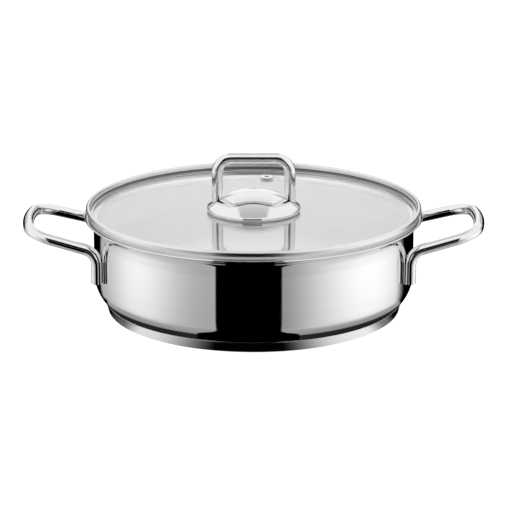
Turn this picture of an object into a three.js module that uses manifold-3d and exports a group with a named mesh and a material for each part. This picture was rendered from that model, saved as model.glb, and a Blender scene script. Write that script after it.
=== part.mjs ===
import * as THREE from 'three';
import { mergeVertices } from 'three/addons/utils/BufferGeometryUtils.js';
import Module from 'manifold-3d';

// Low cooking pot with a glass lid. Millimetres, +Z up, origin at the centre of the resting face.

// Clearances
const seatGap = 0.3;
const faceGap = 0.1;

// Pot shell, drawn from one sheet with a flared pouring lip
const wallInsideRadius = 140;
const wallThickness = 1;
const potHeight = 86.4;
const flareRadius = 12;
const flareAngle = THREE.MathUtils.degToRad(72);
const heelRadius = 31;
const heelAngle = THREE.MathUtils.degToRad(50);
const knuckleRadius = 15.6;

// Encapsulated base
const capThickness = 0.8;
const capHeight = 9.5;
const capDraft = 2;
const capEdgeRadius = 2;
const coreThickness = 4.6;
const coreEdgeGap = 2.6;

// Side handles, bent from round tube and saddled onto the wall
const handleTubeDiameter = 10;
const handleReach = 56.9;
const handleLegSpan = 100.6;
const handleEndSpan = 88.8;
const handleEndBow = 6.5;
const handleEndRadius = 150;
const handleKneeDrop = 22.2;
const handleLegLength = 27.7;
const handleRise = 15;
const handleKneeRadius = 14.5;
const handleCornerRadius = 24;
const saddleDepth = 1.5;

// Lid glass
const glassThickness = 3.5;
const glassCrown = 1.2;
const glassFlatMargin = 4.9;

// Lid rim, one strip folded round the glass with a hollow bead on top
const rimThickness = 0.7;
const rimSeatLow = THREE.MathUtils.degToRad(37);
const rimSeatHigh = THREE.MathUtils.degToRad(53);
const rimLean = 2.4;
const beadRise = 5.9;
const beadWidth = 4;
const rimLipCover = 2.5;
const rimFlangeCover = 5.8;
const rimSealThickness = 0.6;
const rimSealMargin = 0.6;

// Rosette, the domed plate that carries the lid handle
const rosetteRadius = 41.1;
const rosetteDomeRadius = 68.8;
const rosetteSkirt = 1.7;
const rosetteShoulder = 2;
const rosetteThickness = 1;
const rosetteGasketThickness = 0.8;
const rosetteGasketWidth = 4.4;
const rosetteGasketInset = 0.6;

// Lid handle
const lidTubeDiameter = 9.8;
const lidHandleInset = 9.2;
const lidHandleHeight = 46.3;
const lidHandleCornerRadius = 13;

// Screw through the middle of the glass, with what it clamps
const screwRadius = 3;
const screwHeadRadius = 5.5;
const screwHeadHeight = 3.4;
const screwHeadDome = 1.4;
const bossRadius = 7;
const bossFootRadius = 10;
const bossFootHeight = 2;
const bossRoof = 3;
const bossHoleSpare = 1.5;
const bushThickness = 1.6;
const washerRadius = 10;
const washerThickness = 1.2;
const screwSealRadius = 11;
const screwSealThickness = 1.2;

// Steam vent in the glass
const ventEdgeDistance = 33.8;
const ventBearing = THREE.MathUtils.degToRad(6.3);
const ventBoreRadius = 2.2;
const ventBarrelRadius = 3.2;
const ventFlangeRadius = 6;
const ventFlangeThickness = 0.9;
const ventClenchRadius = 4.8;
const ventClenchThickness = 0.8;
const ventGasketThickness = 0.7;
const ventGasketInset = 0.4;

// Facets
const ringSides = 56;
const domeSides = 40;
const smallSides = 24;
const tubeSides = 14;
const arcSag = 0.16;
const leastArcSteps = 2;
const crownSteps = 4;
const bendStep = THREE.MathUtils.degToRad(13);
const weldDistance = 1e-4;

const steel = { color: 0xc9cbcd, roughness: 0.12, metalness: 1 };
const satinSteel = { color: 0xb4b6b8, roughness: 0.35, metalness: 1 };
const aluminium = { color: 0xbfc2c6, roughness: 0.45, metalness: 1 };
const clearGlass = { color: 0xdfe8e4, roughness: 0.03, metalness: 0, transparent: true, opacity: 0.35 };
const silicone = { color: 0xd8d8d4, roughness: 0.6, metalness: 0 };

const wasm = await Module();
wasm.setup();

const point = (radius, height) => new THREE.Vector2(radius, height);

// The turn whose chord lies no further than arcSag from an arc of this size
const sagStep = (size) => 2 * Math.acos(1 - Math.min(1, arcSag / size));

// Points of an arc about (radius, height), both ends included
function arc(centre, size, from, to) {
  const steps = Math.max(leastArcSteps, Math.ceil(Math.abs(to - from) / sagStep(size)));
  const points = [];
  for (let i = 0; i <= steps; i += 1) {
    const angle = from + (to - from) * i / steps;
    points.push(point(centre.x + size * Math.cos(angle), centre.y + size * Math.sin(angle)));
  }
  return points;
}

// A profile of (radius, height) points, anticlockwise, turned about the Z axis
function revolve(profile, sides) {
  const geometry = new THREE.LatheGeometry(profile, sides);
  geometry.rotateX(Math.PI / 2);
  return geometry;
}

function revolveClosed(profile, sides) {
  return revolve([...profile, profile[0].clone()], sides);
}

function ring(inner, outer, bottom, top, sides) {
  const profile = [point(inner, bottom), point(outer, bottom), point(outer, top), point(inner, top)];
  return revolveClosed(profile, sides);
}

function disc(radius, bottom, top, sides) {
  return revolve([point(0, bottom), point(radius, bottom), point(radius, top), point(0, top)], sides);
}

// A path of straight runs joined by arcs, stepped only round its bends
class BentPath extends THREE.Curve {
  constructor(corners, radii) {
    super();
    this.stations = [];
    const last = corners.length - 1;
    this.addStation(corners[0], corners[1].clone().sub(corners[0]));
    for (let i = 1; i < last; i += 1) {
      this.addBend(corners[i - 1], corners[i], corners[i + 1], radii[i - 1]);
    }
    this.addStation(corners[last], corners[last].clone().sub(corners[last - 1]));
  }

  addStation(position, tangent) {
    this.stations.push({ position: position.clone(), tangent: tangent.clone().normalize() });
  }

  addBend(before, corner, after, radius) {
    const arriving = corner.clone().sub(before).normalize();
    const leaving = after.clone().sub(corner).normalize();
    const turn = arriving.angleTo(leaving);
    const setback = radius * Math.tan(turn / 2);
    const start = corner.clone().addScaledVector(arriving, -setback);
    const inward = leaving.clone().addScaledVector(arriving, -leaving.dot(arriving)).normalize();
    const centre = start.clone().addScaledVector(inward, radius);
    const steps = Math.ceil(turn / Math.min(bendStep, sagStep(radius)));
    for (let i = 0; i <= steps; i += 1) {
      const angle = turn * i / steps;
      const position = centre.clone()
        .addScaledVector(inward, -radius * Math.cos(angle))
        .addScaledVector(arriving, radius * Math.sin(angle));
      const tangent = arriving.clone()
        .multiplyScalar(Math.cos(angle))
        .addScaledVector(inward, Math.sin(angle));
      this.addStation(position, tangent);
    }
  }

  get steps() {
    return this.stations.length - 1;
  }

  getUtoTmapping(u) {
    return u;
  }

  nearest(t) {
    return this.stations[Math.round(t * this.steps)];
  }

  getPoint(t, target = new THREE.Vector3()) {
    return target.copy(this.nearest(t).position);
  }

  getTangent(t, target = new THREE.Vector3()) {
    return target.copy(this.nearest(t).tangent);
  }
}

function bentTube(corners, radii, diameter) {
  const path = new BentPath(corners, radii);
  const section = new THREE.Shape();
  for (let i = 0; i < tubeSides; i += 1) {
    const angle = 2 * Math.PI * (i + 0.5) / tubeSides;
    const x = diameter / 2 * Math.cos(angle);
    const y = diameter / 2 * Math.sin(angle);
    if (i === 0) {
      section.moveTo(x, y);
    } else {
      section.lineTo(x, y);
    }
  }
  section.closePath();
  return new THREE.ExtrudeGeometry(section, { steps: path.steps, extrudePath: path, bevelEnabled: false });
}

function toSolid(geometry) {
  const bare = geometry.clone();
  bare.deleteAttribute('normal');
  bare.deleteAttribute('uv');
  const merged = mergeVertices(bare, weldDistance);
  const index = merged.index.array;
  const triangles = [];
  for (let i = 0; i < index.length; i += 3) {
    const [a, b, c] = [index[i], index[i + 1], index[i + 2]];
    if (a !== b && b !== c && c !== a) {
      triangles.push(a, b, c);
    }
  }
  const mesh = new wasm.Mesh({
    numProp: 3,
    vertProperties: new Float32Array(merged.attributes.position.array),
    triVerts: new Uint32Array(triangles),
  });
  return new wasm.Manifold(mesh);
}

function cut(geometry, cutter) {
  const mesh = toSolid(geometry).subtract(toSolid(cutter)).getMesh();
  const result = new THREE.BufferGeometry();
  result.setAttribute('position', new THREE.BufferAttribute(new Float32Array(mesh.vertProperties), 3));
  result.setIndex(new THREE.BufferAttribute(new Uint32Array(mesh.triVerts), 1));
  result.computeVertexNormals();
  return result;
}

// Pot shell: floor, heel of two arcs, straight wall and flared lip
const wallRadius = wallInsideRadius + wallThickness;
const coreBottom = capThickness + faceGap;
const coreTop = coreBottom + coreThickness;
const shellBottom = coreTop + faceGap;
const knuckleHeight = shellBottom + knuckleRadius;
const heelHeight = knuckleHeight + (heelRadius - knuckleRadius) * Math.sin(heelAngle);
const heelCentre = point(wallRadius - heelRadius, heelHeight);
const knuckleCentre = point(
  heelCentre.x + (heelRadius - knuckleRadius) * Math.cos(heelAngle),
  knuckleHeight,
);
const flareInsideRadius = flareRadius + wallThickness;
const flareCentre = point(wallRadius + flareRadius, potHeight - flareInsideRadius * Math.sin(flareAngle));

function shellOutline(inset) {
  const bottom = shellBottom + inset;
  const flareSize = flareRadius + inset;
  return [
    point(0, bottom),
    ...arc(knuckleCentre, knuckleRadius - inset, -Math.PI / 2, -heelAngle),
    ...arc(heelCentre, heelRadius - inset, -heelAngle, 0).slice(1),
    ...arc(flareCentre, flareSize, Math.PI, Math.PI - flareAngle),
  ];
}

function potShell() {
  return revolve([...shellOutline(0), ...shellOutline(wallThickness).reverse()], ringSides);
}

function shellRadiusAt(height) {
  const meeting = heelCentre.y - heelRadius * Math.sin(heelAngle);
  const centre = height > meeting ? heelCentre : knuckleCentre;
  const size = height > meeting ? heelRadius : knuckleRadius;
  return centre.x + Math.sqrt(size ** 2 - (centre.y - height) ** 2);
}

// Base cap: a pressed dish whose rim closes on the heel of the shell
const capTopRadius = shellRadiusAt(capHeight) + seatGap + capThickness;
const capBottomRadius = capTopRadius - capDraft;
const coreRadius = capBottomRadius - capThickness - coreEdgeGap;

function baseCap() {
  const corner = point(capBottomRadius - capEdgeRadius, capEdgeRadius);
  return revolve([
    point(0, 0),
    ...arc(corner, capEdgeRadius, -Math.PI / 2, 0),
    point(capTopRadius, capHeight),
    point(capTopRadius - capThickness, capHeight),
    ...arc(corner, capEdgeRadius - capThickness, 0, -Math.PI / 2),
    point(0, capThickness),
  ], ringSides);
}

// Side handle, at +X
const handleLegRadius = wallRadius + seatGap + handleTubeDiameter / 2 - saddleDepth;
const handleLegX = Math.sqrt(handleLegRadius ** 2 - (handleLegSpan / 2) ** 2);
const handleBowAngle = Math.atan2(handleEndBow, handleEndSpan / 2);
const handleBowX = wallRadius + handleReach + handleEndRadius * (1 / Math.cos(handleBowAngle) - 1);
const handleEndX = handleBowX - handleEndBow;
const handleKneeHeight = potHeight - handleKneeDrop;
const handleFootHeight = handleKneeHeight - handleLegLength;

// The arms rise at a steady slope, which the bowed end carries on
function armHeight(x) {
  return handleKneeHeight + handleRise * (x - handleLegX) / (handleEndX - handleLegX);
}

function sideHandle() {
  const half = [
    new THREE.Vector3(handleLegX, -handleLegSpan / 2, handleFootHeight),
    new THREE.Vector3(handleLegX, -handleLegSpan / 2, handleKneeHeight),
    new THREE.Vector3(handleEndX, -handleEndSpan / 2, armHeight(handleEndX)),
  ];
  const bow = new THREE.Vector3(handleBowX, 0, armHeight(handleBowX));
  const mirrored = half.map((corner) => new THREE.Vector3(corner.x, -corner.y, corner.z)).reverse();
  const bends = [handleKneeRadius, handleCornerRadius];
  const radii = [...bends, handleEndRadius, ...bends.toReversed()];
  const tube = bentTube([...half, bow, ...mirrored], radii, handleTubeDiameter);
  const wall = disc(wallRadius + seatGap, 0, potHeight, ringSides);
  return cut(tube, wall);
}

// Lid rim: its seat is concentric with the flare, and the glass follows from the seat
const rimSeatSize = flareInsideRadius + seatGap;
const rimBottom = flareCentre.y + rimSeatSize * Math.sin(rimSeatLow);
const rimSealBottom = rimBottom + rimThickness + faceGap;
const glassEdgeBottom = rimSealBottom + rimSealThickness + faceGap;
const glassEdgeTop = glassEdgeBottom + glassThickness;
const glassEdgeRound = glassThickness / 2;
const glassReach = rimSeatSize + rimThickness + seatGap + glassEdgeRound;
const glassEdgeMiddle = glassEdgeBottom + glassEdgeRound;
const glassBandRadius = flareCentre.x - Math.sqrt(glassReach ** 2 - (glassEdgeMiddle - flareCentre.y) ** 2);
const glassRadius = glassBandRadius + glassEdgeRound;
const rimLipBottom = glassEdgeTop + seatGap;
const rimLipTop = rimLipBottom + rimThickness;
const beadTop = rimLipTop + beadRise;
const beadRadius = beadWidth / 2;
const rimOuterRadius = flareCentre.x - rimSeatSize * Math.cos(rimSeatHigh) + rimLean;
const beadCentre = point(rimOuterRadius - beadRadius, beadTop - beadRadius);
const rimLipRadius = glassRadius - rimLipCover;
const rimFlangeRadius = glassRadius - rimFlangeCover;

function lidRim() {
  const seat = arc(flareCentre, rimSeatSize, Math.PI - rimSeatLow, Math.PI - rimSeatHigh);
  const innerSize = rimSeatSize + rimThickness;
  const innerLow = Math.asin((rimBottom + rimThickness - flareCentre.y) / innerSize);
  const innerSeat = arc(flareCentre, innerSize, Math.PI - rimSeatHigh, Math.PI - innerLow);
  const beadInside = beadCentre.x - beadRadius;
  return revolveClosed([
    point(rimFlangeRadius, rimBottom),
    ...seat,
    ...arc(beadCentre, beadRadius, 0, Math.PI),
    point(beadInside, rimLipTop),
    point(rimLipRadius, rimLipTop),
    point(rimLipRadius, rimLipBottom),
    point(beadInside + rimThickness, rimLipBottom),
    ...arc(beadCentre, beadRadius - rimThickness, Math.PI, 0),
    ...innerSeat,
    point(rimFlangeRadius, rimBottom + rimThickness),
  ], ringSides);
}

function rimSeal() {
  const inner = rimFlangeRadius + rimSealMargin;
  const outer = glassBandRadius - rimSealMargin;
  return ring(inner, outer, rimSealBottom, rimSealBottom + rimSealThickness, ringSides);
}

// Lid glass: flat in the middle, falling to a rounded edge
const glassTop = glassEdgeTop + glassCrown;
const glassBottom = glassTop - glassThickness;
const glassFlatRadius = rosetteRadius + glassFlatMargin;
const bushRadius = screwRadius + seatGap + bushThickness;
const glassHoleRadius = bushRadius + seatGap;
const ventReach = glassRadius - ventEdgeDistance;
const ventX = ventReach * Math.sin(ventBearing);
const ventY = ventReach * Math.cos(ventBearing);

function glassTopAt(radius) {
  const across = Math.max(0, (radius - glassFlatRadius) / (glassBandRadius - glassFlatRadius));
  return glassTop - glassCrown * across ** 2;
}

function lidGlass() {
  const crown = [point(glassHoleRadius, glassTop)];
  for (let i = 0; i < crownSteps; i += 1) {
    const radius = glassFlatRadius + (glassBandRadius - glassFlatRadius) * i / crownSteps;
    crown.push(point(radius, glassTopAt(radius)));
  }
  const underside = crown.map((place) => point(place.x, place.y - glassThickness));
  const edge = arc(point(glassBandRadius, glassEdgeMiddle), glassEdgeRound, -Math.PI / 2, Math.PI / 2);
  const plate = revolveClosed([...underside, ...edge, ...crown.reverse()], ringSides);
  const hole = disc(ventBarrelRadius + seatGap, glassBottom - glassCrown, glassTop + glassCrown, smallSides);
  hole.translate(ventX, ventY, 0);
  return cut(plate, hole);
}

// Rosette: a dome, a rounded shoulder and a short upright skirt
const rosetteGasketBottom = glassTop + faceGap;
const rosetteBottom = rosetteGasketBottom + rosetteGasketThickness + faceGap;
const shoulderCentre = point(rosetteRadius - rosetteShoulder, rosetteBottom + rosetteSkirt);
const domeTilt = Math.asin(shoulderCentre.x / (rosetteDomeRadius - rosetteShoulder));
const domeCentre = point(
  0,
  shoulderCentre.y - (rosetteDomeRadius - rosetteShoulder) * Math.cos(domeTilt),
);

function rosetteOutline(inset) {
  return [
    point(rosetteRadius - inset, rosetteBottom),
    ...arc(shoulderCentre, rosetteShoulder - inset, 0, Math.PI / 2 - domeTilt),
    ...arc(domeCentre, rosetteDomeRadius - inset, Math.PI / 2 - domeTilt, Math.PI / 2).slice(1, -1),
    point(0, domeCentre.y + rosetteDomeRadius - inset),
  ];
}

function rosette() {
  return revolve([...rosetteOutline(rosetteThickness).reverse(), ...rosetteOutline(0)], domeSides);
}

function rosetteGasket() {
  const outer = rosetteRadius - rosetteGasketInset;
  const top = rosetteGasketBottom + rosetteGasketThickness;
  return ring(outer - rosetteGasketWidth, outer, rosetteGasketBottom, top, domeSides);
}

// Lid handle: one bent tube whose feet are shaped to the dome
function lidHandle() {
  const barHeight = rosetteBottom + lidHandleHeight;
  const half = rosetteRadius - lidHandleInset;
  const tube = bentTube([
    new THREE.Vector3(-half, 0, rosetteBottom),
    new THREE.Vector3(-half, 0, barHeight),
    new THREE.Vector3(half, 0, barHeight),
    new THREE.Vector3(half, 0, rosetteBottom),
  ], [lidHandleCornerRadius, lidHandleCornerRadius], lidTubeDiameter);
  const dome = revolve([point(0, glassBottom), point(rosetteRadius + seatGap, glassBottom),
    ...rosetteOutline(-seatGap)], domeSides);
  return cut(tube, dome);
}

// Screw and the parts that it clamps, from the boss down to the screw head
const bossBottom = glassTop + faceGap;
const screwSealTop = glassBottom - faceGap;
const washerTop = screwSealTop - screwSealThickness - faceGap;
const screwHeadTop = washerTop - washerThickness - faceGap;
const domeUnderside = rosetteDomeRadius - rosetteThickness;
const bossTop = domeCentre.y + Math.sqrt(domeUnderside ** 2 - bossRadius ** 2) - seatGap;
const bossHoleTop = bossTop - bossRoof;
const screwTop = bossHoleTop - bossHoleSpare;

function handleBoss() {
  const holeRadius = screwRadius + seatGap;
  return revolve([
    point(0, bossHoleTop),
    point(holeRadius, bossHoleTop),
    point(holeRadius, bossBottom),
    point(bossFootRadius, bossBottom),
    point(bossFootRadius, bossBottom + bossFootHeight),
    point(bossRadius, bossBottom + bossFootHeight),
    point(bossRadius, bossTop),
    point(0, bossTop),
  ], smallSides);
}

function lidScrew() {
  const headBottom = screwHeadTop - screwHeadHeight;
  return revolve([
    point(0, headBottom),
    point(screwHeadRadius - screwHeadDome, headBottom),
    point(screwHeadRadius, headBottom + screwHeadDome),
    point(screwHeadRadius, screwHeadTop),
    point(screwRadius, screwHeadTop),
    point(screwRadius, screwTop),
    point(0, screwTop),
  ], smallSides);
}

function screwWasher() {
  return ring(screwRadius + seatGap, washerRadius, washerTop - washerThickness, washerTop, smallSides);
}

function screwSeal() {
  const inner = screwRadius + seatGap;
  return ring(inner, screwSealRadius, screwSealTop - screwSealThickness, screwSealTop, smallSides);
}

function glassBush() {
  return ring(screwRadius + seatGap, bushRadius, glassBottom, glassTop, smallSides);
}

// Steam vent: an eyelet clenched through the glass over a soft ring
const ventGlassTop = glassTopAt(Math.hypot(ventX, ventY));
const ventGasketBottom = ventGlassTop + seatGap;
const ventFlangeBottom = ventGasketBottom + ventGasketThickness + faceGap;

function ventEyelet() {
  const flangeTop = ventFlangeBottom + ventFlangeThickness;
  const clenchTop = ventGlassTop - glassThickness - seatGap;
  const clenchBottom = clenchTop - ventClenchThickness;
  const flangeRound = ventFlangeThickness / 2;
  const clenchRound = ventClenchThickness / 2;
  const flangeEdge = point(ventFlangeRadius - flangeRound, flangeTop - flangeRound);
  const clenchEdge = point(ventClenchRadius - clenchRound, clenchTop - clenchRound);
  const eyelet = revolveClosed([
    point(ventBoreRadius, clenchBottom),
    ...arc(clenchEdge, clenchRound, -Math.PI / 2, Math.PI / 2).slice(1, -1),
    point(ventBarrelRadius, clenchTop),
    point(ventBarrelRadius, ventFlangeBottom),
    ...arc(flangeEdge, flangeRound, -Math.PI / 2, Math.PI / 2).slice(1),
    point(ventBoreRadius, flangeTop),
  ], smallSides);
  return eyelet.translate(ventX, ventY, 0);
}

function ventGasket() {
  const inner = ventBarrelRadius + seatGap;
  const outer = ventFlangeRadius - ventGasketInset;
  const gasket = ring(inner, outer, ventGasketBottom, ventGasketBottom + ventGasketThickness, smallSides);
  return gasket.translate(ventX, ventY, 0);
}

function piece(name, geometry, finish) {
  const mesh = new THREE.Mesh(geometry, new THREE.MeshStandardMaterial(finish));
  mesh.name = name;
  return mesh;
}

const pot = new THREE.Group();
pot.add(
  piece('pot_shell', potShell(), steel),
  piece('base_core', disc(coreRadius, coreBottom, coreTop, ringSides), aluminium),
  piece('base_cap', baseCap(), satinSteel),
  piece('right_handle', sideHandle(), steel),
);
const leftSide = new THREE.Group();
leftSide.rotation.z = Math.PI;
leftSide.add(piece('left_handle', sideHandle(), steel));
pot.add(leftSide);

const lid = new THREE.Group();
lid.add(
  piece('lid_glass', lidGlass(), clearGlass),
  piece('lid_rim', lidRim(), steel),
  piece('rim_seal', rimSeal(), silicone),
  piece('lid_rosette', rosette(), steel),
  piece('rosette_gasket', rosetteGasket(), silicone),
  piece('lid_handle', lidHandle(), steel),
  piece('handle_boss', handleBoss(), satinSteel),
  piece('lid_screw', lidScrew(), satinSteel),
  piece('screw_washer', screwWasher(), satinSteel),
  piece('screw_seal', screwSeal(), silicone),
  piece('glass_bush', glassBush(), silicone),
  piece('vent_eyelet', ventEyelet(), steel),
  piece('vent_gasket', ventGasket(), silicone),
);

const potWithLid = new THREE.Group();
potWithLid.add(pot, lid);

export default potWithLid;
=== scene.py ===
import math

import bpy
from mathutils import Matrix, Vector


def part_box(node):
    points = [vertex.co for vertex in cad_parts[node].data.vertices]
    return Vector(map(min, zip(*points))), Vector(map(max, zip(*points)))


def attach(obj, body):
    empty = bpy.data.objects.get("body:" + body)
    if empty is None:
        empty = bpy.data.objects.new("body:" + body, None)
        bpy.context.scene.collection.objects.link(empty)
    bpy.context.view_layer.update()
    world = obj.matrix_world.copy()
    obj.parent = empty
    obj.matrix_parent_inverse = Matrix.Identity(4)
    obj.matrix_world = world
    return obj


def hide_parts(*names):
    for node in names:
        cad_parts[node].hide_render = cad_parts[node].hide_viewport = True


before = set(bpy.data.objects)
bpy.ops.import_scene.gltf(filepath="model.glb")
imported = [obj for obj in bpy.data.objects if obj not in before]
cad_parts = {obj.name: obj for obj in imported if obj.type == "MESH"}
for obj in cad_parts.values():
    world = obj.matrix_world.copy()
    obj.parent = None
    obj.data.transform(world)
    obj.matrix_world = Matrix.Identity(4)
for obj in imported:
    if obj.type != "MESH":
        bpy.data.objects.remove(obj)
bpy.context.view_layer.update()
scene = bpy.context.scene
mm = 0.001
degree = math.radians(1)
print("frame loaded:", len(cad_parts), "nodes")


# camera, at the photo's angle
camera = {
    "target": (0, 0, 45 * mm),
    "distance": 2.3,
    "elevation": 16.88 * degree,
    "lens": 184.9,
    "shift": (-0.0013, 0.0081),
}


def placeCamera():
    data = bpy.data.cameras.new("photoCamera")
    piece = bpy.data.objects.new("photoCamera", data)
    scene.collection.objects.link(piece)
    tilt = camera["elevation"]
    back = Vector((0, -math.cos(tilt), math.sin(tilt)))
    piece.location = Vector(camera["target"]) + back * camera["distance"]
    piece.rotation_euler = back.to_track_quat("Z", "Y").to_euler()
    data.lens = camera["lens"]
    data.shift_x, data.shift_y = camera["shift"]
    scene.camera = piece


placeCamera()
print("camera placed")


# small helpers for node trees, shared by materials, the world and geometry trees
def feed(tree, socket, value):
    if isinstance(value, bpy.types.NodeSocket):
        tree.links.new(value, socket)
    else:
        socket.default_value = value


def calc(tree, operation, *values):
    node = tree.nodes.new("ShaderNodeMath")
    node.operation = operation
    for socket, value in zip(node.inputs, values):
        feed(tree, socket, value)
    return node.outputs[0]


def ramp(tree, value, fromLow, fromHigh, toLow=0.0, toHigh=1.0):
    node = tree.nodes.new("ShaderNodeMapRange")
    node.interpolation_type = "SMOOTHSTEP"
    for label, entry in zip(
        ("Value", "From Min", "From Max", "To Min", "To Max"),
        (value, fromLow, fromHigh, toLow, toHigh),
    ):
        feed(tree, node.inputs[label], entry)
    return node.outputs["Result"]


def separate(tree, vector):
    node = tree.nodes.new("ShaderNodeSeparateXYZ")
    feed(tree, node.inputs[0], vector)
    return node.outputs


def combine(tree, x, y, z):
    node = tree.nodes.new("ShaderNodeCombineXYZ")
    for socket, value in zip(node.inputs, (x, y, z)):
        feed(tree, socket, value)
    return node.outputs[0]


def noise(tree, vector, scale, detail):
    node = tree.nodes.new("ShaderNodeTexNoise")
    feed(tree, node.inputs["Vector"], vector)
    node.inputs["Scale"].default_value = scale
    node.inputs["Detail"].default_value = detail
    return node.outputs["Fac"]


def objectPlace(tree):
    return tree.nodes.new("ShaderNodeTexCoord").outputs["Object"]


def reach(tree, x, y):
    squares = calc(tree, "ADD", calc(tree, "MULTIPLY", x, x), calc(tree, "MULTIPLY", y, y))
    return calc(tree, "SQRT", squares)


# distance from the pot's axis and height, the same all the way round, for brushed marks
def ringPlace(tree):
    x, y, z = separate(tree, objectPlace(tree))
    return combine(tree, reach(tree, x, y), z, 0.0)


def bump(tree, height, depth):
    node = tree.nodes.new("ShaderNodeBump")
    node.inputs["Strength"].default_value = 1
    node.inputs["Distance"].default_value = depth
    feed(tree, node.inputs["Height"], height)
    return node.outputs["Normal"]


# finishes
def newMaterial(name):
    material = bpy.data.materials.new(name)
    material.use_nodes = True
    return material, material.node_tree, material.node_tree.nodes["Principled BSDF"]


def tint(tree, factor, low, high):
    node = tree.nodes.new("ShaderNodeMix")
    node.data_type = "RGBA"
    feed(tree, node.inputs["Factor"], factor)
    feed(tree, node.inputs[6], low)  # the two colours, whose names the other kinds share
    feed(tree, node.inputs[7], high)
    return node.outputs[2]


polish = {
    "dull": (0.80, 0.805, 0.815, 1),
    "bright": (0.87, 0.872, 0.876, 1),
    "roughness": (0.018, 0.055),
    "wear": (0.1, 0.45),
    "clouds": 22.0,
    "cloudDetail": 4.0,
    "hairlines": 900.0,
    "hairDetail": 1.0,
}


# mirror polish: faint clouding from the buff, with hairlines that vary its sharpness
def polishedSteel():
    material, tree, shader = newMaterial("polishedSteel")
    place = objectPlace(tree)
    clouds = noise(tree, place, polish["clouds"], polish["cloudDetail"])
    hairs = noise(tree, place, polish["hairlines"], polish["hairDetail"])
    feed(tree, shader.inputs["Base Color"], tint(tree, clouds, polish["dull"], polish["bright"]))
    mixed = calc(tree, "MULTIPLY", clouds, hairs)
    rough = ramp(tree, mixed, *polish["wear"], *polish["roughness"])
    feed(tree, shader.inputs["Roughness"], rough)
    shader.inputs["Metallic"].default_value = 1
    return material


brushed = {
    "lines": 2600.0,
    "lineDetail": 2.0,
    "wear": (0.25, 0.75),
    "bands": 190.0,
    "bandDetail": 3.0,
    "tone": (1, 1.004, 1.014),
    "satinSteel": {"dull": 0.80, "bright": 0.90, "roughness": (0.12, 0.20), "depth": 0.002 * mm},
    "insideSteel": {"dull": 0.74, "bright": 0.88, "roughness": (0.60, 0.72), "depth": 0.006 * mm},
    "rimSteel": {"dull": 0.78, "bright": 0.86, "roughness": (0.19, 0.26), "depth": 0.0005 * mm},
    # painted shade: near-black steel for the crevice at the foot of the rim's bead
    "seamShadeSteel": {"dull": 0.12, "bright": 0.19, "roughness": (0.30, 0.42), "depth": 0.004 * mm},
    "coreMetal": {"dull": 0.62, "bright": 0.76, "roughness": (0.40, 0.55), "depth": 0.01 * mm},
}


def steelTone(level):
    return (*(level * share for share in brushed["tone"]), 1)


# brushed in the lathe: fine rings about the pot's axis, in two widths
def ringBrushedSteel(name):
    finish = brushed[name]
    material, tree, shader = newMaterial(name)
    place = ringPlace(tree)
    lines = noise(tree, place, brushed["lines"], brushed["lineDetail"])
    bands = noise(tree, place, brushed["bands"], brushed["bandDetail"])
    tone = tint(tree, bands, steelTone(finish["dull"]), steelTone(finish["bright"]))
    feed(tree, shader.inputs["Base Color"], tone)
    rough = ramp(tree, lines, *brushed["wear"], *finish["roughness"])
    feed(tree, shader.inputs["Roughness"], rough)
    feed(tree, shader.inputs["Normal"], bump(tree, lines, finish["depth"]))
    shader.inputs["Metallic"].default_value = 1
    return material


pane = {
    "colour": (0.975, 0.985, 0.98, 1),
    "roughness": (0.0, 0.012),
    "wiped": (0.45, 0.75),
    "smears": 30.0,
    "smearDetail": 3.0,
    "refraction": 1.52,
    "hardCoat": 0.7,
}


# toughened glass with the faintest smears left by wiping
def clearGlass():
    material, tree, shader = newMaterial("lidGlass")
    smears = noise(tree, objectPlace(tree), pane["smears"], pane["smearDetail"])
    rough = ramp(tree, smears, *pane["wiped"], *pane["roughness"])
    feed(tree, shader.inputs["Roughness"], rough)
    shader.inputs["Base Color"].default_value = pane["colour"]
    shader.inputs["IOR"].default_value = pane["refraction"]
    shader.inputs["Transmission Weight"].default_value = 1
    shader.inputs["Coat Weight"].default_value = pane["hardCoat"]
    shader.inputs["Coat Roughness"].default_value = 0
    return material


rubber = {
    "thin": (0.66, 0.66, 0.64, 1),
    "thick": (0.80, 0.80, 0.775, 1),
    "mottle": 420.0,
    "mottleDetail": 4.0,
    "bloom": (0.3, 0.7),
    "roughness": (0.38, 0.6),
    "depth": 0.03 * mm,
    "milkiness": 0.25,
    "scatter": 3 * mm,
}


# moulded silicone, milky and a little mottled
def softSilicone():
    material, tree, shader = newMaterial("softSilicone")
    mottle = noise(tree, objectPlace(tree), rubber["mottle"], rubber["mottleDetail"])
    feed(tree, shader.inputs["Base Color"], tint(tree, mottle, rubber["thin"], rubber["thick"]))
    rough = ramp(tree, mottle, *rubber["bloom"], *rubber["roughness"])
    feed(tree, shader.inputs["Roughness"], rough)
    feed(tree, shader.inputs["Normal"], bump(tree, mottle, rubber["depth"]))
    shader.inputs["Subsurface Weight"].default_value = rubber["milkiness"]
    shader.inputs["Subsurface Radius"].default_value = (rubber["scatter"],) * 3
    return material


mirrorSteel = polishedSteel()
satinSteel = ringBrushedSteel("satinSteel")
insideSteel = ringBrushedSteel("insideSteel")
rimSteel = ringBrushedSteel("rimSteel")
# painted shade for the crevice at the foot of the rim's bead
seamShadeSteel = ringBrushedSteel("seamShadeSteel")
coreMetal = ringBrushedSteel("coreMetal")
glass = clearGlass()
silicone = softSilicone()
print("finishes made")


# Geometry Nodes
def newTree(name, inputs):
    tree = bpy.data.node_groups.new(name, "GeometryNodeTree")
    for label, kind in [("Geometry", "Geometry"), *inputs]:
        tree.interface.new_socket(label, in_out="INPUT", socket_type="NodeSocket" + kind)
    tree.interface.new_socket("Geometry", in_out="OUTPUT", socket_type="NodeSocketGeometry")
    return tree, tree.nodes.new("NodeGroupInput").outputs


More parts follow.
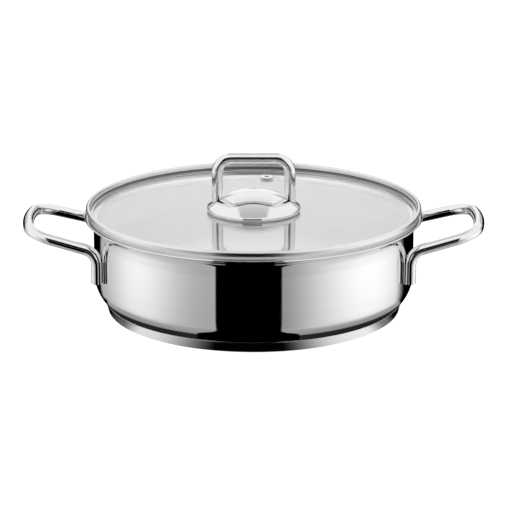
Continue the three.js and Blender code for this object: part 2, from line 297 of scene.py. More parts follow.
def endTree(tree, geometry, material):
    smooth = tree.nodes.new("GeometryNodeSetShadeSmooth")
    realize = tree.nodes.new("GeometryNodeRealizeInstances")
    painted = tree.nodes.new("GeometryNodeSetMaterial")
    leave = tree.nodes.new("NodeGroupOutput")
    tree.links.new(geometry, smooth.inputs["Geometry"])
    tree.links.new(smooth.outputs[0], realize.inputs["Geometry"])
    tree.links.new(realize.outputs[0], painted.inputs["Geometry"])
    tree.links.new(material, painted.inputs["Material"])
    tree.links.new(painted.outputs[0], leave.inputs[0])


# the points of the incoming profile, radius in X and height in Z, are carried round the axis
def turningTree():
    tree, entry = newTree(
        "turnedPiece",
        [("Sides", "Int"), ("Seam", "Float"), ("Material", "Material")],
    )
    size = tree.nodes.new("GeometryNodeAttributeDomainSize")
    tree.links.new(entry["Geometry"], size.inputs["Geometry"])
    rows = size.outputs["Point Count"]
    grid = tree.nodes.new("GeometryNodeMeshGrid")
    feed(tree, grid.inputs["Vertices X"], calc(tree, "ADD", entry["Sides"], 1.0))
    feed(tree, grid.inputs["Vertices Y"], rows)
    index = tree.nodes.new("GeometryNodeInputIndex").outputs[0]
    middle = calc(tree, "ADD", index, 0.5)  # clear of rounding
    column = calc(tree, "FLOOR", calc(tree, "DIVIDE", middle, rows))
    row = calc(tree, "SUBTRACT", index, calc(tree, "MULTIPLY", column, rows))
    profile = tree.nodes.new("GeometryNodeSampleIndex")
    profile.data_type = "FLOAT_VECTOR"
    tree.links.new(entry["Geometry"], profile.inputs["Geometry"])
    feed(tree, profile.inputs["Value"], tree.nodes.new("GeometryNodeInputPosition").outputs[0])
    feed(tree, profile.inputs["Index"], row)
    radius, _, height = separate(tree, profile.outputs["Value"])
    angle = calc(tree, "DIVIDE", calc(tree, "MULTIPLY", column, math.tau), entry["Sides"])
    x = calc(tree, "MULTIPLY", radius, calc(tree, "COSINE", angle))
    y = calc(tree, "MULTIPLY", radius, calc(tree, "SINE", angle))
    place = tree.nodes.new("GeometryNodeSetPosition")
    tree.links.new(grid.outputs["Mesh"], place.inputs["Geometry"])
    feed(tree, place.inputs["Position"], combine(tree, x, y, height))
    closed = tree.nodes.new("GeometryNodeMergeByDistance")
    tree.links.new(place.outputs[0], closed.inputs["Geometry"])
    feed(tree, closed.inputs["Distance"], entry["Seam"])
    endTree(tree, closed.outputs[0], entry["Material"])
    return tree


# a tube bent round the corners of the incoming path, whose points carry their bend radius
def bendingTree():
    tree, entry = newTree(
        "bentTube",
        [("Radius", "Float"), ("Sides", "Int"), ("Bend Steps", "Int"), ("Material", "Material")],
    )
    path = tree.nodes.new("GeometryNodeMeshToCurve")
    tree.links.new(entry["Geometry"], path.inputs["Mesh"])
    bend = tree.nodes.new("GeometryNodeInputNamedAttribute")
    bend.data_type = "FLOAT"
    bend.inputs["Name"].default_value = "bend"
    fillet = tree.nodes.new("GeometryNodeFilletCurve")
    fillet.mode = "POLY"
    tree.links.new(path.outputs[0], fillet.inputs["Curve"])
    feed(tree, fillet.inputs["Count"], entry["Bend Steps"])
    feed(tree, fillet.inputs["Radius"], bend.outputs["Attribute"])
    section = tree.nodes.new("GeometryNodeCurvePrimitiveCircle")
    feed(tree, section.inputs["Resolution"], entry["Sides"])
    feed(tree, section.inputs["Radius"], entry["Radius"])
    swept = tree.nodes.new("GeometryNodeCurveToMesh")
    tree.links.new(fillet.outputs[0], swept.inputs["Curve"])
    tree.links.new(section.outputs["Curve"], swept.inputs["Profile Curve"])
    swept.inputs["Fill Caps"].default_value = True
    endTree(tree, swept.outputs[0], entry["Material"])
    return tree


turning = turningTree()
bending = bendingTree()
creaseAngle = 30 * degree  # sharper corners stay sharp in the shading
seamGap = 0.002 * mm  # a turned piece is closed over this


def newPiece(name, corners, edges=(), faces=()):
    mesh = bpy.data.meshes.new(name)
    mesh.from_pydata(corners, edges, faces)
    piece = bpy.data.objects.new(name, mesh)
    scene.collection.objects.link(piece)
    return piece


def runTree(piece, tree, inputs):
    modifier = piece.modifiers.new(tree.name, "NODES")
    modifier.node_group = tree
    for socket in tree.interface.items_tree:
        if socket.in_out == "INPUT" and socket.name in inputs:
            modifier[socket.identifier] = inputs[socket.name]
    toPlainMesh(piece)


def toPlainMesh(piece):
    depsgraph = bpy.context.evaluated_depsgraph_get()
    mesh = bpy.data.meshes.new_from_object(piece.evaluated_get(depsgraph), depsgraph=depsgraph)
    for slot in reversed(range(len(mesh.materials))):
        if mesh.materials[slot] is None:
            mesh.materials.pop(index=slot)
    piece.modifiers.clear()
    piece.data = mesh
    mesh.set_sharp_from_angle(angle=creaseAngle)


def cutAway(piece, cutter):
    modifier = piece.modifiers.new("cut", "BOOLEAN")
    modifier.operation = "DIFFERENCE"
    modifier.solver = "EXACT"
    modifier.object = cutter
    toPlainMesh(piece)
    bpy.data.objects.remove(cutter)


# gives a second finish to the faces that the test picks
def paintFaces(piece, material, picks):
    piece.data.materials.append(material)
    last = len(piece.data.materials) - 1
    for face in piece.data.polygons:
        if picks(face):
            face.material_index = last


def settle(piece, body, node):
    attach(piece, body)
    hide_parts(node)


# profiles, as (radius, height) points
turn = {
    "sides": 256,
    "smallSides": 128,
    "cutterSides": 512,
    "arcStep": 6 * degree,
    "arcChord": 1.5 * mm,
    "runStep": 6 * mm,
    "edgeBreak": 0.22 * mm,
    "edgeRoom": 0.4,
    "edgeSteps": 4,
}
tube = {"sides": 64, "bendSteps": 28}
gap = 0.3 * mm  # between pieces


def arc(centre, size, start, end):
    step = min(turn["arcStep"], turn["arcChord"] / size)
    steps = max(2, math.ceil(abs(end - start) / step))
    x, y = centre
    angles = [start + (end - start) * i / steps for i in range(steps + 1)]
    return [Vector((x + size * math.cos(a), y + size * math.sin(a))) for a in angles]


def points(*places):
    return [Vector(place) for place in places]


# sheet edges and turned corners are broken, so that they catch the light
def breakEdges(profile, closed):
    result = []
    last = len(profile) - 1
    for i, corner in enumerate(profile):
        if not closed and i in (0, last):
            result.append(corner)
            continue
        before = profile[i - 1] - corner
        after = profile[(i + 1) % len(profile)] - corner
        bend = math.pi - before.angle(after)
        if bend < creaseAngle:
            result.append(corner)
            continue
        room = turn["edgeRoom"] * min(before.length, after.length)
        setback = min(turn["edgeBreak"] * math.tan(bend / 2), room)
        start = corner + before.normalized() * setback
        end = corner + after.normalized() * setback
        for step in range(turn["edgeSteps"] + 1):
            t = step / turn["edgeSteps"]
            result.append(start * (1 - t) ** 2 + corner * 2 * t * (1 - t) + end * t ** 2)
    return result


# long straight runs get extra points, which keeps the shading true beside an arc
def subdivide(profile):
    result = [profile[0]]
    for start, end in zip(profile, profile[1:]):
        steps = max(1, math.ceil((end - start).length / turn["runStep"]))
        result += [start.lerp(end, i / steps) for i in range(1, steps + 1)]
    return result


def turned(name, profile, material, sides=turn["sides"], closed=False):
    outline = breakEdges(profile, closed)
    if closed:
        outline.append(outline[0])
    outline = subdivide(outline)
    piece = newPiece(name, [(place.x, 0, place.y) for place in outline])
    runTree(piece, turning, {"Sides": sides, "Seam": seamGap, "Material": material})
    return piece


def washer(name, inner, outer, bottom, top, material):
    profile = points((inner, bottom), (outer, bottom), (outer, top), (inner, top))
    return turned(name, profile, material, turn["smallSides"], closed=True)


def plug(name, radius, bottom, top, material, sides):
    profile = points((0, bottom), (radius, bottom), (radius, top), (0, top))
    return turned(name, profile, material, sides)


def tubePiece(name, corners, bends, radius, material):
    chain = [(i, i + 1) for i in range(len(corners) - 1)]
    piece = newPiece(name, corners, chain)
    attribute = piece.data.attributes.new("bend", "FLOAT", "POINT")
    attribute.data.foreach_set("value", bends)
    sizes = {"Radius": radius, "Sides": tube["sides"], "Bend Steps": tube["bendSteps"]}
    runTree(piece, bending, {**sizes, "Material": material})
    return piece


# pot shell
shellLow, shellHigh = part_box("pot_shell")
pot = {
    "insideRadius": 140 * mm,
    "thickness": 1 * mm,
    "flareRadius": 12 * mm,
    "flareAngle": 72 * degree,
    "heelRadius": 31 * mm,
    "heelAngle": 50 * degree,
    "knuckleRadius": 15.6 * mm,
    "floorFacing": 0.5,
    "insideFacing": -0.3,
}
wallRadius = pot["insideRadius"] + pot["thickness"]
heelReach = pot["heelRadius"] - pot["knuckleRadius"]
knuckleHeight = shellLow.z + pot["knuckleRadius"]
heelCentre = Vector((
    wallRadius - pot["heelRadius"],
    knuckleHeight + heelReach * math.sin(pot["heelAngle"]),
))
knuckleCentre = Vector((heelCentre.x + heelReach * math.cos(pot["heelAngle"]), knuckleHeight))
flareInside = pot["flareRadius"] + pot["thickness"]
flareCentre = Vector((
    wallRadius + pot["flareRadius"],
    shellHigh.z - flareInside * math.sin(pot["flareAngle"]),
))


def shellOutline(inset):
    return [
        Vector((0, shellLow.z + inset)),
        *arc(knuckleCentre, pot["knuckleRadius"] - inset, -math.pi / 2, -pot["heelAngle"]),
        *arc(heelCentre, pot["heelRadius"] - inset, -pot["heelAngle"], 0)[1:],
        *arc(flareCentre, pot["flareRadius"] + inset, math.pi, math.pi - pot["flareAngle"]),
    ]


# the pouring lip stays polished on both sides
def onInside(face):
    outward = Vector((face.center.x, face.center.y, 0)).normalized()
    onFloor = face.normal.z > pot["floorFacing"] and face.center.z < heelCentre.y
    onWall = face.normal.dot(outward) < pot["insideFacing"] and face.center.z < flareCentre.y
    return onFloor or onWall


def makePotShell():
    outline = [*shellOutline(0), *reversed(shellOutline(pot["thickness"]))]
    piece = turned("drawnShell", outline, mirrorSteel)
    paintFaces(piece, insideSteel, onInside)
    settle(piece, "pot", "pot_shell")


makePotShell()


# base cap
_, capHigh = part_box("base_cap")
cap = {"thickness": 0.8 * mm, "draft": 2 * mm, "edgeRadius": 2 * mm}


def makeBaseCap():
    bottomRadius = capHigh.x - cap["draft"]
    corner = (bottomRadius - cap["edgeRadius"], cap["edgeRadius"])
    profile = [
        Vector((0, 0)),
        *arc(corner, cap["edgeRadius"], -math.pi / 2, 0),
        *points((capHigh.x, capHigh.z), (capHigh.x - cap["thickness"], capHigh.z)),
        *arc(corner, cap["edgeRadius"] - cap["thickness"], 0, -math.pi / 2),
        Vector((0, cap["thickness"])),
    ]
    settle(turned("pressedCap", profile, satinSteel), "pot", "base_cap")


makeBaseCap()
print("pot and base made")


# side handles
handle = {
    "tubeRadius": 5 * mm,
    "reach": 56.9 * mm,
    "legSpan": 100.6 * mm,
    "endSpan": 88.8 * mm,
    "endBow": 6.5 * mm,
    "endRadius": 150 * mm,
    "kneeDrop": 22.2 * mm,
    "legLength": 27.7 * mm,
    "rise": 15 * mm,
    "kneeRadius": 14.5 * mm,
    "cornerRadius": 24 * mm,
    "saddleDepth": 1.5 * mm,
}


# one leg, its knee and its arm, then the bowed end and the mirrored half
def makeSideHandle(name, node, side):
    legRadius = wallRadius + gap + handle["tubeRadius"] - handle["saddleDepth"]
    legX = math.sqrt(legRadius ** 2 - (handle["legSpan"] / 2) ** 2)
    bowAngle = math.atan2(handle["endBow"], handle["endSpan"] / 2)
    bowX = wallRadius + handle["reach"] + handle["endRadius"] * (1 / math.cos(bowAngle) - 1)
    endX = bowX - handle["endBow"]
    kneeZ = shellHigh.z - handle["kneeDrop"]
    slope = handle["rise"] / (endX - legX)
    half = [
        (side * legX, -handle["legSpan"] / 2, kneeZ - handle["legLength"]),
        (side * legX, -handle["legSpan"] / 2, kneeZ),
        (side * endX, -handle["endSpan"] / 2, kneeZ + handle["rise"]),
    ]
    bow = (side * bowX, 0, kneeZ + slope * (bowX - legX))
    corners = [*half, bow, *((x, -y, z) for x, y, z in reversed(half))]
    bends = [0, handle["kneeRadius"], handle["cornerRadius"]]
    bends = [*bends, handle["endRadius"], *reversed(bends)]
    piece = tubePiece(name, corners, bends, handle["tubeRadius"], mirrorSteel)
    inside = plug("wallCutter", wallRadius + gap, 0, shellHigh.z, mirrorSteel, turn["cutterSides"])
    cutAway(piece, inside)
    settle(piece, "pot", node)


makeSideHandle("leftTubeHandle", "left_handle", -1)
makeSideHandle("rightTubeHandle", "right_handle", 1)
print("side handles made")


# lid rim and its seal
rimLow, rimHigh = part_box("lid_rim")
sealLow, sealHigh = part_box("rim_seal")
glassLow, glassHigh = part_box("lid_glass")
rim = {
    "thickness": 0.7 * mm,
    "seatLow": 37 * degree,
    "seatHigh": 53 * degree,
    "beadRise": 5.9 * mm,
    "beadRadius": 2 * mm,
    "lipCover": 2.5 * mm,
    "flangeCover": 5.8 * mm,
    "sealMargin": 0.6 * mm,
    "seamShadeHeight": 1.7 * mm,
    "seamShadeFacing": -0.5,
}
rimSeat = flareInside + gap
glassRadius = glassHigh.x
beadCentre = Vector((rimHigh.x - rim["beadRadius"], rimHigh.z - rim["beadRadius"]))
beadInside = beadCentre.x - rim["beadRadius"]
lipTop = rimHigh.z - rim["beadRise"]
lipBottom = lipTop - rim["thickness"]
flangeRadius = glassRadius - rim["flangeCover"]


# painted shade: the foot of the bead's flank, where the strip folds over the glass, gets a
# near-black steel that stands in for the shade in the crevice there
def onSeamShade(face):
    low = lipTop - gap < face.center.z < lipTop + rim["seamShadeHeight"]
    outward = Vector((face.center.x, face.center.y, 0)).normalized()
    inBead = face.center.dot(outward) < beadInside + gap
    return low and inBead and face.normal.dot(outward) < rim["seamShadeFacing"]


def makeLidRim():
    innerSeat = rimSeat + rim["thickness"]
    flangeTop = rimLow.z + rim["thickness"]
    innerLow = math.asin((flangeTop - flareCentre.y) / innerSeat)
    lipRadius = glassRadius - rim["lipCover"]
    profile = [
        Vector((flangeRadius, rimLow.z)),
        *arc(flareCentre, rimSeat, math.pi - rim["seatLow"], math.pi - rim["seatHigh"]),
        *arc(beadCentre, rim["beadRadius"], 0, math.pi),
        *points((beadInside, lipTop + rim["seamShadeHeight"]), (beadInside, lipTop)),
        *points((lipRadius, lipTop), (lipRadius, lipBottom)),
        Vector((beadInside + rim["thickness"], lipBottom)),
        *arc(beadCentre, rim["beadRadius"] - rim["thickness"], math.pi, 0),
        *arc(flareCentre, innerSeat, math.pi - rim["seatHigh"], math.pi - innerLow),
        Vector((flangeRadius, flangeTop)),
    ]
    piece = turned("foldedRim", profile, rimSteel, closed=True)
    # painted shade on the foot of the bead's flank
    paintFaces(piece, seamShadeSteel, onSeamShade)
    settle(piece, "lid", "lid_rim")


def makeRimSeal():
    inner = flangeRadius + rim["sealMargin"]
    piece = washer("rimSealRing", inner, sealHigh.x, sealLow.z, sealHigh.z, silicone)
    settle(piece, "lid", "rim_seal")


makeLidRim()
makeRimSeal()


# lid glass
plate = {
    "thickness": 3.5 * mm,
    "crown": 1.2 * mm,
    "flatMargin": 4.9 * mm,
    "holeRadius": 5.2 * mm,
    "crownSteps": 16,
}
rosetteLow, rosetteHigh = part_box("lid_rosette")
ventLow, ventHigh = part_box("vent_eyelet")
ventCentre = (ventLow + ventHigh) / 2
ventShift = Matrix.Translation((ventCentre.x, ventCentre.y, 0))
vent = {
    "boreRadius": 2.2 * mm,
    "barrelRadius": 3.2 * mm,
    "clenchRadius": 4.8 * mm,
    "flangeThickness": 0.9 * mm,
    "clenchThickness": 0.8 * mm,
}


def makeLidGlass():
    edgeRound = plate["thickness"] / 2
    band = glassRadius - edgeRound
    flat = rosetteHigh.x + plate["flatMargin"]
    steps = plate["crownSteps"]
    crown = [Vector((plate["holeRadius"], glassHigh.z))]
    for i in range(steps):
        share = i / steps
        fall = plate["crown"] * share ** 2
        crown.append(Vector((flat + (band - flat) * share, glassHigh.z - fall)))
    under = [Vector((place.x, place.y - plate["thickness"])) for place in crown]
    edgeCentre = (band, glassHigh.z - plate["crown"] - edgeRound)
    edge = arc(edgeCentre, edgeRound, -math.pi / 2, math.pi / 2)
    piece = turned("toughenedGlass", [*under, *edge, *reversed(crown)], glass, closed=True)
    holeRadius = vent["barrelRadius"] + gap
    ends = (glassLow.z - gap, glassHigh.z + gap)
    hole = plug("ventCutter", holeRadius, *ends, glass, turn["smallSides"])
    hole.data.transform(ventShift)
    cutAway(piece, hole)
    settle(piece, "lid", "lid_glass")


makeLidGlass()
print("rim and glass made")


# steam vent
def makeVentEyelet():
    flangeRound = vent["flangeThickness"] / 2
    clenchRound = vent["clenchThickness"] / 2
    outer = (ventHigh.x - ventLow.x) / 2
    flangeEdge = (outer - flangeRound, ventHigh.z - flangeRound)
    clenchEdge = (vent["clenchRadius"] - clenchRound, ventLow.z + clenchRound)
    profile = [
        Vector((vent["boreRadius"], ventLow.z)),
        *arc(clenchEdge, clenchRound, -math.pi / 2, math.pi / 2),
        Vector((vent["barrelRadius"], ventLow.z + vent["clenchThickness"])),
        Vector((vent["barrelRadius"], ventHigh.z - vent["flangeThickness"])),
        *arc(flangeEdge, flangeRound, -math.pi / 2, math.pi / 2),
        Vector((vent["boreRadius"], ventHigh.z)),
    ]
    piece = turned("clenchedEyelet", profile, mirrorSteel, turn["smallSides"], closed=True)
    piece.data.transform(ventShift)
    settle(piece, "lid", "vent_eyelet")


def makeVentGasket():
    low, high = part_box("vent_gasket")
    outer = (high.x - low.x) / 2
    piece = washer("ventRing", vent["barrelRadius"] + gap, outer, low.z, high.z, silicone)
    piece.data.transform(ventShift)
    settle(piece, "lid", "vent_gasket")


makeVentEyelet()
makeVentGasket()


# rosette and its gasket
rosette = {
    "domeRadius": 68.8 * mm,
    "skirt": 1.7 * mm,
    "shoulder": 2 * mm,
    "thickness": 1 * mm,
    "gasketWidth": 4.4 * mm,
}
shoulderCentre = Vector((rosetteHigh.x - rosette["shoulder"], rosetteLow.z + rosette["skirt"]))
domeReach = rosette["domeRadius"] - rosette["shoulder"]
domeTilt = math.asin(shoulderCentre.x / domeReach)
domeCentre = Vector((0, shoulderCentre.y - domeReach * math.cos(domeTilt)))


def rosetteOutline(inset):
    size = rosette["domeRadius"] - inset
    return [
        Vector((rosetteHigh.x - inset, rosetteLow.z)),
        *arc(shoulderCentre, rosette["shoulder"] - inset, 0, math.pi / 2 - domeTilt),
        *arc(domeCentre, size, math.pi / 2 - domeTilt, math.pi / 2)[1:-1],
        Vector((0, domeCentre.y + size)),
    ]


def makeRosette():
    outline = [*reversed(rosetteOutline(rosette["thickness"])), *rosetteOutline(0)]
    settle(turned("domedRosette", outline, mirrorSteel), "lid", "lid_rosette")


def makeRosetteGasket():
    low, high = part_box("rosette_gasket")
    inner = high.x - rosette["gasketWidth"]
    piece = washer("rosetteRing", inner, high.x, low.z, high.z, silicone)
    settle(piece, "lid", "rosette_gasket")


makeRosette()
makeRosetteGasket()


# lid handle
loop = {
    "tubeRadius": 4.9 * mm,
    "inset": 9.2 * mm,
    "height": 46.3 * mm,
    "cornerRadius": 13 * mm,
}


def makeLidHandle():
    half = rosetteHigh.x - loop["inset"]
    footZ = rosetteLow.z
    barZ = footZ + loop["height"]
    corners = [(-half, 0, footZ), (-half, 0, barZ), (half, 0, barZ), (half, 0, footZ)]
    bends = [0, loop["cornerRadius"], loop["cornerRadius"], 0]
    piece = tubePiece("lidLoop", corners, bends, loop["tubeRadius"], mirrorSteel)
    under = points((0, glassLow.z), (rosetteHigh.x + gap, glassLow.z))
    profile = [*under, *rosetteOutline(-gap)]
    cutAway(piece, turned("domeCutter", profile, mirrorSteel, turn["cutterSides"]))
    settle(piece, "lid", "lid_handle")


makeLidHandle()
print("rosette and lid handle made")


# screw through the glass, with its washers
screw = {
    "radius": 3 * mm,
    "headRadius": 5.5 * mm,
    "headHeight": 3.4 * mm,
    "headDome": 1.4 * mm,
    "socketRadius": 2.3 * mm,
    "socketDepth": 2 * mm,
    "socketSides": 6,
}


def makeLidScrew():
    low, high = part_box("lid_screw")
    headTop = low.z + screw["headHeight"]
    domeCorner = (screw["headRadius"] - screw["headDome"], low.z + screw["headDome"])
    profile = [
        Vector((0, low.z)),
        *arc(domeCorner, screw["headDome"], -math.pi / 2, 0),
        *points((screw["headRadius"], headTop), (screw["radius"], headTop)),
        *points((screw["radius"], high.z), (0, high.z)),
    ]
    piece = turned("domeHeadScrew", profile, satinSteel, turn["smallSides"])
    ends = (low.z - gap, low.z + screw["socketDepth"])
    socket = plug("socketCutter", screw["socketRadius"], *ends, satinSteel, screw["socketSides"])
    cutAway(piece, socket)
    settle(piece, "lid", "lid_screw")


def makeScrewWashers():
    for name, node, material, slot in (
        ("flatWasher", "screw_washer", satinSteel, "satin_steel"),
        ("softWasher", "screw_seal", silicone, "clear_silicone"),
    ):
        low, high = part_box(node)
        piece = washer(name, screw["radius"] + gap, high.x, low.z, high.z, material)
        settle(piece, "lid", node)


makeLidScrew()
makeScrewWashers()

# inner pieces that nothing shows keep their solids
innerPieces = {"base_core": coreMetal, "handle_boss": satinSteel, "glass_bush": silicone}
for node, material in innerPieces.items():
    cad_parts[node].data.materials.clear()
    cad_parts[node].data.materials.append(material)
print("screw and inner pieces made")


# studio, as the polished steel mirrors it: two pale panels low at the sides with a dark strip
# between them, dark cloth low at the back, and a white tent above with a grey panel over the back;
# a direction is told by its side, 1 to the right, its depth, 1 to the back, and its height as an
# angle; it is laid out for one fixed line of sight, given by its level and its falling part
studio = {
    "strip": (-0.425, 0.318),
    "stripEdge": 0.018,
    "stripTop": (152 * degree, 140 * degree),
    "panelFrom": 0.35,
    "sightAhead": 0.956,
    "sightDrop": 0.292,
    "leftPanel": {"levels": (0.44, 0.97), "curve": 3.3, "back": (0.79, 0.73)},
    "rightPanel": {"levels": (0.33, 1.10), "curve": 1.3, "back": (0.72, 0.50)},
    "panelEdge": {"heights": (-18.6 * degree, -16.6 * degree), "levels": (1.0, 1.11)},
    "slope": (4 * degree, 30 * degree),
    "slopeFall": {"side": (0.60, 0.90), "levels": (1.0, 0.76)},
    "corner": {"slopes": (14 * degree, 40 * degree), "power": 2, "widening": 0.19},
    "under": (38 * degree, 46 * degree),
    "underLevel": 0.2,
    "backGlow": {
        "heights": (-14 * degree, -10 * degree),
        "side": (0.20, 0.12),
        "depth": (0.8, 0.9),
        "level": 0.75,
    },
    "horizon": (-3 * degree, 2 * degree),
    "clothRise": 8 * degree,
    "clothSide": (0.12, 0.20),
    "clothDepth": (0.3, 0.6),
    "wingTop": (22 * degree, 16 * degree),
    "wingLevel": 0.56,
    "overheadSide": (0.29, 0.23),
    "overheadBack": (28 * degree, 90 * degree),
    "overheadFront": (98 * degree, 90 * degree),
    "overheadLevel": 0.55,
    "throughGlass": 1.6,
    "ambient": 0.55,
    "floorGlow": 0.72,
    "floorColour": (0.8, 0.8, 0.8, 1),
    "floorSize": 30.0,
    "contactOuter": (153 * mm, 149 * mm),
    "contactTurn": 1.84,
    "contactSide": (0.38, 0.90),
    "contactBack": {"depth": (0.45, 0.05), "levels": (0.22, 0.88)},
}


def lightPath(tree):
    return tree.nodes.new("ShaderNodeLightPath").outputs


def blend(tree, factor, low, high):
    node = tree.nodes.new("ShaderNodeMix")
    feed(tree, node.inputs["Factor"], factor)
    feed(tree, node.inputs["A"], low)
    feed(tree, node.inputs["B"], high)
    return node.outputs["Result"]


def product(tree, first, *others):
    for other in others:
        first = calc(tree, "MULTIPLY", first, other)
    return first


# 0 on the dark strip in front, 1 beside it
def besideStrip(tree, side, widening=0.0):
    left, right = studio["strip"]
    offset = calc(tree, "ABSOLUTE", calc(tree, "SUBTRACT", side, (left + right) / 2))
    half = (right - left) / 2
    return ramp(tree, calc(tree, "SUBTRACT", offset, widening), half, half + studio["stripEdge"])


# the panels' corners are round, so the strip widens towards its ends
def cornerWidening(tree, bend):
    corner = studio["corner"]
    return product(tree, calc(tree, "POWER", bend, corner["power"]), corner["widening"])


# a panel grows brighter away from the strip, and ends towards the back
def panelLevel(tree, panel, lean, depth):
    low, high = panel["levels"]
    level = calc(tree, "MULTIPLY_ADD", calc(tree, "POWER", lean, panel["curve"]), high - low, low)
    return product(tree, level, ramp(tree, depth, *panel["back"]))


def lowerPanels(tree, side, depth, widening=0.0):
    span = studio["sightAhead"] - studio["panelFrom"]
    lean = calc(tree, "SUBTRACT", calc(tree, "ABSOLUTE", side), studio["panelFrom"])
    lean = calc(tree, "MAXIMUM", calc(tree, "DIVIDE", lean, span), 0.0)
    panel = blend(
        tree,
        calc(tree, "GREATER_THAN", side, 0.0),
        panelLevel(tree, studio["leftPanel"], lean, depth),
        panelLevel(tree, studio["rightPanel"], lean, depth),
    )
    return product(tree, panel, besideStrip(tree, side, widening))


# what the wall that shows this direction would mirror if it stood upright, and how far it leans
def mirrorFacing(tree, x, y, z):
    ahead = calc(tree, "SUBTRACT", y, studio["sightAhead"])
    xSquare = product(tree, x, x)
    aheadSquare = product(tree, ahead, ahead)
    across = calc(tree, "ADD", xSquare, aheadSquare)
    side = calc(tree, "DIVIDE", product(tree, x, ahead, -2 * studio["sightAhead"]), across)
    forward = calc(tree, "SUBTRACT", xSquare, aheadSquare)
    depth = calc(tree, "DIVIDE", product(tree, forward, studio["sightAhead"]), across)
    drop = calc(tree, "SUBTRACT", -studio["sightDrop"], z)
    slope = calc(tree, "ARCTAN2", drop, calc(tree, "SQRT", across))
    return side, depth, slope


# below the horizon: what the upright wall mirrors is spread over all slopes, so that heel and lip
# carry it on; steep undersides see a dim floor
def lowerRoom(tree, x, y, z, height):
    side, depth, slope = mirrorFacing(tree, x, y, z)
    lean = calc(tree, "ABSOLUTE", side)
    edge = ramp(tree, height, *studio["panelEdge"]["heights"], *studio["panelEdge"]["levels"])
    fall = ramp(tree, lean, *studio["slopeFall"]["side"], *studio["slopeFall"]["levels"])
    fade = blend(tree, ramp(tree, slope, *studio["slope"]), 1.0, fall)
    widening = cornerWidening(tree, ramp(tree, slope, *studio["corner"]["slopes"]))
    panels = product(tree, lowerPanels(tree, side, depth, widening), edge, fade)
    level = blend(tree, ramp(tree, slope, *studio["under"]), panels, studio["underLevel"])
    glow = product(
        tree,
        ramp(tree, height, *studio["backGlow"]["heights"]),
        ramp(tree, calc(tree, "ABSOLUTE", x), *studio["backGlow"]["side"]),
        ramp(tree, y, *studio["backGlow"]["depth"]),
        studio["backGlow"]["level"],
    )
    return calc(tree, "ADD", level, glow)


# how far a direction lies towards the ends of the cloth at the back
def clothEnd(tree, side, depth):
    return product(
        tree,
        ramp(tree, calc(tree, "ABSOLUTE", side), *studio["clothSide"]),
        ramp(tree, depth, *studio["clothDepth"]),
    )


# the roll goes from the back's horizon over the top to the front's
def upperTent(tree, side, depth, height, roll):
    white = calc(tree, "MAXIMUM", besideStrip(tree, side), ramp(tree, roll, *studio["stripTop"]))
    grey = product(
        tree,
        ramp(tree, calc(tree, "ABSOLUTE", side), *studio["overheadSide"]),
        ramp(tree, roll, *studio["overheadBack"]),
        ramp(tree, roll, *studio["overheadFront"]),
    )
    wing = product(tree, clothEnd(tree, side, depth), ramp(tree, height, *studio["wingTop"]))
    return product(
        tree,
        white,
        blend(tree, grey, 1.0, studio["overheadLevel"]),
        blend(tree, wing, 1.0, studio["wingLevel"]),
    )


# the cloth at the back stands higher towards its ends
def aboveHorizon(tree, side, depth, height):
    rise = product(tree, clothEnd(tree, side, depth), studio["clothRise"])
    return ramp(tree, calc(tree, "SUBTRACT", height, rise), *studio["horizon"])


# the side and depth that an upright wall over this place of the floor mirrors
def placeFacing(tree, x, y, factor):
    bearing = calc(tree, "ARCTAN2", x, calc(tree, "MULTIPLY", y, -1.0))
    facing = calc(tree, "MULTIPLY", bearing, factor)
    side = product(tree, calc(tree, "SINE", facing), studio["sightAhead"])
    return side, product(tree, calc(tree, "COSINE", facing), -studio["sightAhead"])


# painted contact shadow: the floor close to the base, which the cap mirrors, glows for mirrors and
# is bright only well beside the strip
def contactShadeFloor(tree, x, y):
    side, depth = placeFacing(tree, x, y, studio["contactTurn"])
    offset = calc(tree, "ABSOLUTE", calc(tree, "SUBTRACT", side, sum(studio["strip"]) / 2))
    level = product(
        tree,
        lowerPanels(tree, side, depth),
        ramp(tree, offset, *studio["contactSide"]),
        ramp(tree, depth, *studio["contactBack"]["depth"], *studio["contactBack"]["levels"]),
    )
    return ramp(tree, reach(tree, x, y), *studio["contactOuter"]), level


def mixShader(tree, factor, first, second):
    node = tree.nodes.new("ShaderNodeMixShader")
    feed(tree, node.inputs[0], factor)
    tree.links.new(first, node.inputs[1])
    tree.links.new(second, node.inputs[2])
    return node.outputs[0]


def emission(tree, strength):
    node = tree.nodes.new("ShaderNodeEmission")
    feed(tree, node.inputs["Strength"], strength)
    return node.outputs[0]


# mirrors look through the floor to the panels, apart from a ring close to the base that shows them
# painted contact shadow
def makeFloor():
    half = studio["floorSize"] / 2
    corners = [(-half, -half, 0), (half, -half, 0), (half, half, 0), (-half, half, 0)]
    floor = newPiece("studioFloor", corners, faces=[(0, 1, 2, 3)])
    material, tree, shader = newMaterial("paleFloor")
    shader.inputs["Base Color"].default_value = studio["floorColour"]
    shader.inputs["Roughness"].default_value = 1
    shader.inputs["Specular IOR Level"].default_value = 0
    path = lightPath(tree)
    seen = tree.nodes.new("ShaderNodeAddShader")
    tree.links.new(shader.outputs[0], seen.inputs[0])
    direct = calc(tree, "MAXIMUM", path["Is Camera Ray"], path["Is Transmission Ray"])
    glow = calc(tree, "MULTIPLY", direct, studio["floorGlow"])
    tree.links.new(emission(tree, glow), seen.inputs[1])
    x, y, _ = separate(tree, objectPlace(tree))
    mirrored = tree.nodes.new("ShaderNodeBsdfTransparent").outputs[0]
    # painted contact shadow near the base, seen only in mirrors
    shown, level = contactShadeFloor(tree, x, y)
    mirrored = mixShader(tree, shown, mirrored, emission(tree, level))
    glossy = calc(tree, "SUBTRACT", path["Is Glossy Ray"], path["Is Transmission Ray"])
    tree.links.new(
        mixShader(tree, glossy, seen.outputs[0], mirrored),
        tree.nodes["Material Output"].inputs["Surface"],
    )
    floor.data.materials.append(material)
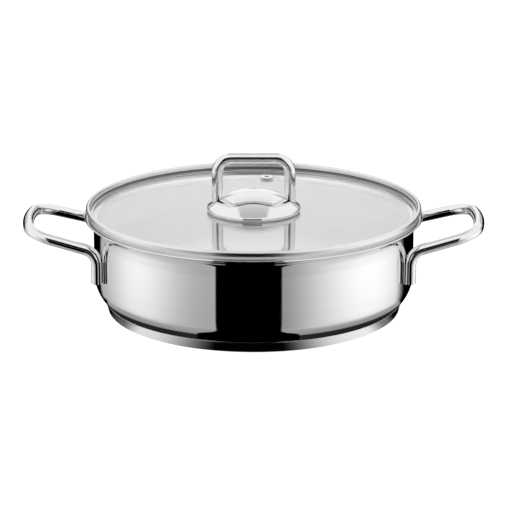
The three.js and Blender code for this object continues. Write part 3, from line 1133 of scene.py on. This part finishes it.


# a grey card close round the base, seen only in the heel above it: it glows with a painted
# reflection, and its near-black inner band is painted contact shadow
card = {
    "inner": 126 * mm,
    "outer": 150 * mm,
    "aboveCap": 0.4 * mm,
    "sides": 192,
    "turn": 1.9,
    # painted contact shadow: the near-black band close to the base
    "dark": (135.5 * mm, 137.3 * mm),
    "darkLevel": 0.06,
    "fade": (150 * mm, 142 * mm),
    "levels": (0.33, 0.52),
    "cornerFrom": 147 * mm,
}


def makeHeelCard():
    height = capHigh.z + card["aboveCap"]
    corners = []
    for index in range(card["sides"]):
        bearing = math.tau * index / card["sides"]
        for radius in (card["inner"], card["outer"]):
            corners.append((radius * math.cos(bearing), radius * math.sin(bearing), height))
    total = len(corners)
    faces = [(i, i + 1, (i + 3) % total, (i + 2) % total) for i in range(0, total, 2)]
    piece = newPiece("heelCard", corners, faces=faces)
    material, tree, _ = newMaterial("heelReflectionCard")
    x, y, _ = separate(tree, objectPlace(tree))
    side, depth = placeFacing(tree, x, y, card["turn"])
    out = reach(tree, x, y)
    widening = cornerWidening(tree, ramp(tree, out, card["cornerFrom"], card["dark"][1]))
    # painted reflection for the heel, with painted contact shadow close to the base
    level = product(
        tree,
        besideStrip(tree, side, widening),
        ramp(tree, depth, *studio["leftPanel"]["back"]),
        ramp(tree, out, *card["dark"], card["darkLevel"], 1.0),
        ramp(tree, out, card["dark"][1], card["outer"], *card["levels"]),
    )
    clear = tree.nodes.new("ShaderNodeBsdfTransparent").outputs[0]
    below = tree.nodes.new("ShaderNodeNewGeometry").outputs["Backfacing"]
    shown = product(tree, calc(tree, "SUBTRACT", 1.0, below), ramp(tree, out, *card["fade"]))
    tree.links.new(
        mixShader(tree, shown, clear, emission(tree, level)),
        tree.nodes["Material Output"].inputs["Surface"],
    )
    piece.data.materials.append(material)
    piece.visible_camera = False
    piece.visible_diffuse = False
    piece.visible_transmission = False
    piece.visible_shadow = False


def makeWorld():
    world = bpy.data.worlds.new("studioWorld")
    scene.world = world
    world.use_nodes = True
    tree = world.node_tree
    x, y, z = separate(tree, tree.nodes.new("ShaderNodeTexCoord").outputs["Generated"])
    height = calc(tree, "ARCSINE", z)
    tent = upperTent(tree, x, y, height, calc(tree, "ARCTAN2", z, y))
    room = blend(tree, aboveHorizon(tree, x, y, height), lowerRoom(tree, x, y, z, height), tent)
    path = lightPath(tree)
    level = blend(tree, path["Is Glossy Ray"], studio["ambient"], room)
    level = blend(tree, path["Is Transmission Ray"], level, studio["throughGlass"])
    level = blend(tree, path["Is Camera Ray"], level, 1.0)
    feed(tree, tree.nodes["Background"].inputs["Strength"], level)
    tree.nodes["Background"].inputs["Color"].default_value = (1, 1, 1, 1)


softboxes = {
    "keySoftbox": {"place": (-1.1, -0.9, 1.9), "size": 1.6, "power": 16},
    "fillSoftbox": {"place": (1.3, -0.5, 1.6), "size": 1.6, "power": 9},
}


def makeSoftboxes():
    for name, box in softboxes.items():
        data = bpy.data.lights.new(name, "AREA")
        data.size = box["size"]
        data.energy = box["power"]
        lamp = bpy.data.objects.new(name, data)
        lamp.location = box["place"]
        lamp.rotation_euler = Vector(box["place"]).to_track_quat("Z", "Y").to_euler()
        lamp.visible_glossy = False
        lamp.visible_transmission = False
        scene.collection.objects.link(lamp)


makeFloor()
makeHeelCard()
makeWorld()
makeSoftboxes()
scene.view_settings.view_transform = "Standard"
print("studio made")
